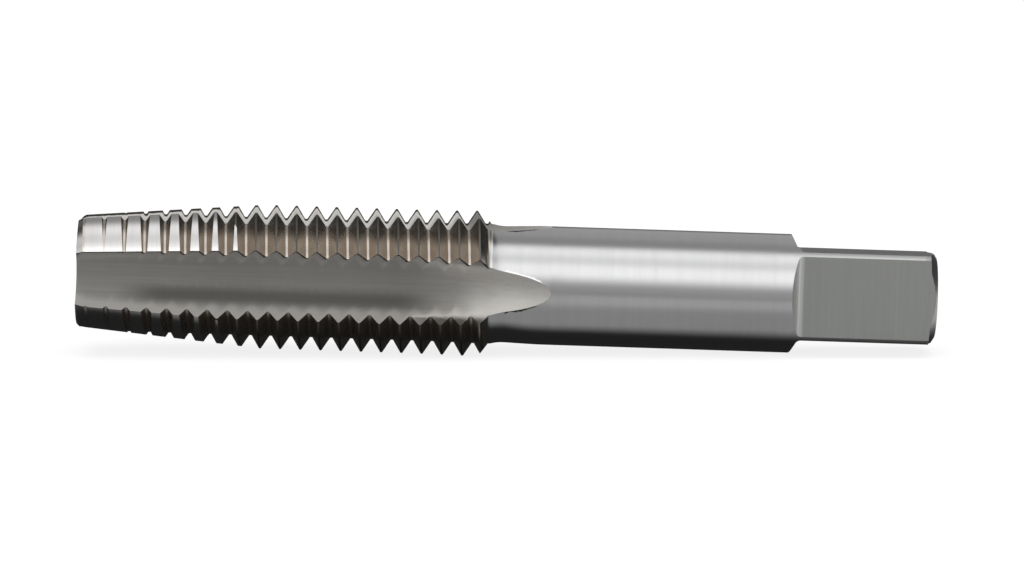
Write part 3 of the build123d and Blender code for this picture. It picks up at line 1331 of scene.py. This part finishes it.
@dataclass(frozen=True)
class Board:
    """Pale board under the tap, and how the steel sees it.

    Distances are in millimetres and levels are brightnesses.  A pair says
    where a smooth step begins and where it ends.

    Attributes:
        reach: half of the board's side.
        bend: place along the tap from which the board is level.
        grey: matt colour that the camera sees.
        rough: roughness of the board.
        glow: light that the camera sees on top of the grey.
        shade: level close to the tap.
        sides: where that shade ends beside the tap.
        thread_side: how much farther it reaches beside the thread.
        thread_end: where it narrows to its reach beside the shank.
        middle: place along the tap from which its ends are measured.
        ends: where it ends past the tap's ends.
        front: level on the camera's side of the tap.
        strip: level that a pale strip adds there.
        strip_in: where the strip begins beside the tap.
        strip_out: where the strip ends.
        back: level behind the tap.
        far_back: level that is added farther behind it.
        back_in: where that is added.
        right: level past the square.
        right_in: where that takes over, as a place along the tap.
    """

    reach: float = 3000.0
    bend: float = 112.0
    grey: float = 0.10
    rough: float = 0.9
    glow: float = 0.84
    shade: float = 0.012
    sides: tuple[float, float] = (4.8, 8.0)
    thread_side: float = 3.0
    thread_end: tuple[float, float] = (46.0, 58.0)
    middle: float = 54.0
    ends: tuple[float, float] = (56.0, 66.0)
    front: float = 0.205
    strip: float = 0.10
    strip_in: tuple[float, float] = (14.0, 24.0)
    strip_out: tuple[float, float] = (36.0, 70.0)
    back: float = 0.05
    far_back: float = 0.36
    back_in: tuple[float, float] = (14.0, 50.0)
    right: float = 0.37
    right_in: tuple[float, float] = (104.0, 122.0)


@dataclass
class Studio:
    """Floor, light and camera.

    Attributes:
        tilt: slope of the floor along the tap, in degrees: the tap rests on
            its thread and on the shank's far end.
        roll: slope of the tap in the picture, in degrees.
        elevation: height of the camera over the tap's axis, in degrees.
        lens: focal length, in millimetres.
        film: width of the film, in millimetres.
        aim: point on the axis at the picture's middle.
        lift: the picture's middle below that point, in picture widths.
        width: width of the field at the tap, in millimetres.
        board: the floor's levels and distances.
        gain: overall brightness of the panels.
        gloom: level where there is no panel.
        soft: half of the fade at a panel's ends, as a part of a direction.
        lamp_side: side of the square lamp that lights the floor, in metres.
        lamp_height: height of that lamp, in metres.
        lamp_power: its power, in watts.
        panels: what the bright steel reflects.
    """

    tilt: float = 1.80
    roll: float = 1.855
    elevation: float = 7.6
    lens: float = 200.0
    film: float = 36.0
    aim: float = 54.6
    lift: float = 0.0075
    width: float = 129.2
    board: Board = Board()
    gain: float = 1.62
    gloom: float = 0.02
    soft: float = 0.08
    lamp_side: float = 1.6
    lamp_height: float = 1.2
    lamp_power: float = 26.0
    panels: tuple[Panel, ...] = (
        Panel((-30.0, -10.0), (85.0, 120.0), 0.215, (-0.36, 0.36)),
        Panel((6.0, 33.0), (42.0, 70.0), 0.62),
        Panel((50.0, 74.0), (80.0, 98.0), 0.56),
        Panel((90.0, 124.0), (156.0, 176.0), 0.25, (-0.36, 0.36)),
        Panel((-12.0, 8.0), (28.0, 46.0), 1.8, (-0.68, -0.26)),
        Panel((112.0, 128.0), (165.0, 176.0), 0.36, (-1.1, -0.74)),
        Panel((-5.0, 15.0), (181.0, 190.0), 0.5, (-1.2, -0.93)),
    )

    def camera(self) -> bpy.types.Object:
        """Makes the camera and sets it as the scene's."""
        data = bpy.data.cameras.new("camera")
        data.type = "PERSP"
        data.lens = self.lens
        data.sensor_width = self.film
        data.clip_start, data.clip_end = 0.01, 50.0
        distance = self.width * MM * self.lens / self.film
        rise = math.radians(self.elevation)
        toward = Vector((0.0, -math.cos(rise), math.sin(rise)))
        turn = Matrix.Rotation(math.radians(self.roll), 3, toward)
        up, right = turn @ Vector((0.0, math.sin(rise), math.cos(rise))), turn @ Vector((1.0, 0.0, 0.0))
        target = Vector((self.aim * MM, 0.0, 0.0)) - up * (self.lift * self.width * MM)
        basis = Matrix((right, up, toward)).transposed()
        camera = bpy.data.objects.new("camera", data)
        camera.matrix_world = Matrix.Translation(target + toward * distance) @ basis.to_4x4()
        bpy.context.scene.collection.objects.link(camera)
        bpy.context.scene.camera = camera
        return camera

    def floor(self, tap: bpy.types.Object) -> bpy.types.Object:
        """Makes the plain pale floor, just touching the tap.

        Its height is the least of z - x tan(tilt) over the tap's points.  Just
        past the square it levels off, so that it hides nothing from there.

        Args:
            tap: the object that lies on it.

        Returns:
            The floor.
        """
        slope, far, bend = math.tan(math.radians(self.tilt)), self.board.reach * MM, self.board.bend * MM
        places = np.empty(3 * len(tap.data.vertices), dtype=np.float32)
        tap.data.vertices.foreach_get("co", places)
        lowest = float((places[2::3] - places[0::3] * slope).min())
        corners = np.array([[-far, -far], [bend, -far], [bend, far], [-far, far], [far, -far], [far, far]])
        points = np.column_stack([corners, lowest + np.minimum(corners[:, 0], bend) * slope])
        mesh = bpy.data.meshes.new("floor")
        mesh.from_pydata(points.tolist(), [], [[0, 1, 2, 3], [1, 4, 5, 2]])
        floor = bpy.data.objects.new("floor", mesh)
        bpy.context.scene.collection.objects.link(floor)
        mesh.materials.append(self.floor_finish())
        return floor

    def floor_finish(self) -> bpy.types.Material:
        """Pale board that shows darker in the steel, and darkest under the tap.

        The camera sees a pale matt board.  The steel reflects a dim grey that
        fades to nearly black within a few millimetres of the tap.  Beside it
        the distance is |y|, less the thread's extra reach along the thread.

        Returns:
            The floor's material.
        """
        board = self.board
        material = bpy.data.materials.new("floor")
        material.use_nodes = True
        graph = Graph(material.node_tree)
        shader = material.node_tree.nodes["Principled BSDF"]
        shader.inputs["Base Color"].default_value = (board.grey, board.grey, board.grey, 1.0)
        shader.inputs["Roughness"].default_value = board.rough
        shader.inputs["Emission Color"].default_value = (1.0, 1.0, 1.0, 1.0)
        shader.inputs["Emission Strength"].default_value = board.glow

        def past(value: Socket, bounds: tuple[float, float]) -> Socket:
            """Smooth step between two bounds in millimetres."""
            return graph.step(value, bounds[0] * MM, bounds[1] * MM)

        x, y, _ = graph.split(graph.add("ShaderNodeTexCoord").outputs["Object"])
        wide = graph.math("SUBTRACT", 1.0, past(x, board.thread_end))
        away = graph.math("SUBTRACT", graph.math("ABSOLUTE", y),
                          graph.math("MULTIPLY", wide, board.thread_side * MM))
        beyond = graph.math("ABSOLUTE", graph.math("SUBTRACT", x, board.middle * MM))
        clear = graph.math("MAXIMUM", past(away, board.sides), past(beyond, board.ends))
        strip = graph.math("MULTIPLY", past(away, board.strip_in),
                           graph.math("SUBTRACT", 1.0, past(away, board.strip_out)))
        front = graph.math("MULTIPLY_ADD", strip, board.strip, board.front)
        back = graph.math("MULTIPLY_ADD", past(y, board.back_in), board.far_back, board.back)
        tone = graph.spread(graph.math("GREATER_THAN", y, 0.0), front, back)
        tone = graph.spread(past(x, board.right_in), tone, board.right)
        glow = graph.add("ShaderNodeEmission")
        shown = graph.spread(clear, board.shade, tone)
        graph.feed(glow.inputs["Strength"], graph.math("MULTIPLY", shown, self.gain))
        mix = graph.add("ShaderNodeMixShader")
        graph.feed(mix.inputs[0], graph.add("ShaderNodeLightPath").outputs["Is Camera Ray"])
        graph.feed(mix.inputs[1], glow.outputs[0])
        graph.feed(mix.inputs[2], shader.outputs[0])
        graph.feed(material.node_tree.nodes["Material Output"].inputs["Surface"], mix.outputs[0])
        return material

    def light(self) -> None:
        """Surrounds the tap with its soft panels and lights the floor.

        A direction's turn about the tap's axis is atan2(up, toward camera).
        Each panel adds its level between its two soft edges and its two ends.
        """
        world = bpy.data.worlds.new("studio")
        bpy.context.scene.world = world
        world.use_nodes = True
        graph = Graph(world.node_tree)
        x, y, z = graph.split(graph.add("ShaderNodeTexCoord").outputs["Generated"])
        turn = graph.math("DEGREES", graph.math("ARCTAN2", z, graph.math("MULTIPLY", y, -1.0)))
        total: Socket | float = self.gloom
        for panel in self.panels:
            edges = graph.math("MULTIPLY", graph.step(turn, *panel.rise),
                               graph.math("SUBTRACT", 1.0, graph.step(turn, *panel.fall)))
            first, last = panel.span
            start = graph.step(x, first - self.soft, first + self.soft)
            end = graph.step(x, last - self.soft, last + self.soft)
            ends = graph.math("MULTIPLY", start, graph.math("SUBTRACT", 1.0, end))
            edges = graph.math("MULTIPLY", edges, ends)
            total = graph.math("MULTIPLY_ADD", edges, panel.level, total)
        seen = graph.add("ShaderNodeLightPath").outputs["Is Camera Ray"]
        background = world.node_tree.nodes["Background"]
        background.inputs["Color"].default_value = (1.0, 1.0, 1.0, 1.0)
        graph.feed(background.inputs["Strength"],
                   graph.spread(seen, graph.math("MULTIPLY", total, self.gain), 1.0))
        lamp = bpy.data.lights.new("overhead", "AREA")
        lamp.shape, lamp.size, lamp.energy = "SQUARE", self.lamp_side, self.lamp_power
        overhead = bpy.data.objects.new("overhead", lamp)
        overhead.location = (self.board.middle * MM, 0.0, self.lamp_height)
        overhead.visible_glossy = False
        overhead.visible_camera = False
        bpy.context.scene.collection.objects.link(overhead)


def main() -> None:
    """Builds the tap and its studio in order, and reports each piece."""
    logging.basicConfig(level=logging.INFO, format="%(name)s: %(message)s")
    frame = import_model()
    LOG.info("frame loaded: %s", sorted(frame["nodes"]))
    tap = TapBody().build()
    TapFinishes().dress(tap, SteelEffects())
    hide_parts("tap")
    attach(tap, "root")
    LOG.info("tap body: %d faces", len(tap.data.polygons))
    studio = Studio()
    studio.floor(tap)
    studio.light()
    studio.camera()
    bpy.context.scene.view_settings.view_transform = "Standard"
    LOG.info("studio ready")


if __name__ == "__main__":
    main()
